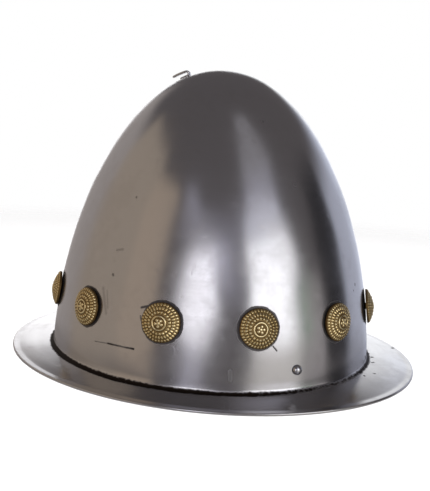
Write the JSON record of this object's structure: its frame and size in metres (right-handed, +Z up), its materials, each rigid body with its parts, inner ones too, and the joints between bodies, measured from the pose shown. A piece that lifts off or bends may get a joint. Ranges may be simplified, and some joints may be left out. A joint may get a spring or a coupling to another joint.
{
  "type": "morion helmet",
  "caption": "Open steel helmet with a tall almond-shaped skull, a narrow oval brim, a small stalk at the top and domed brass rosettes round its foot.",
  "frame": {"origin": "centre of the brim's outline, on the surface that the brim rests on", "axes": "+X to the wearer's front along the brim's long axis, +Y to the wearer's left, +Z up"},
  "size_m": [0.31, 0.266, 0.2105],
  "materials": {
    "polished_steel": "worn hand polish with faint brushing",
    "cast_brass": "cast, dark in the recesses",
    "stalk_steel": "satin",
    "rivet_steel": "polished"
  },
  "bodies": {
    "root": {"helmet_shell": "polished_steel", "rosette_01": "cast_brass", "rosette_02": "cast_brass", "rosette_03": "cast_brass", "rosette_04": "cast_brass", "rosette_05": "cast_brass", "rosette_06": "cast_brass", "rosette_07": "cast_brass", "rosette_08": "cast_brass", "rosette_09": "cast_brass", "rosette_10": "cast_brass", "rosette_11": "cast_brass", "rosette_12": "cast_brass", "stalk": "stalk_steel", "strap_rivet_left": "rivet_steel", "strap_rivet_right": "rivet_steel"}
  },
  "joints": []
}
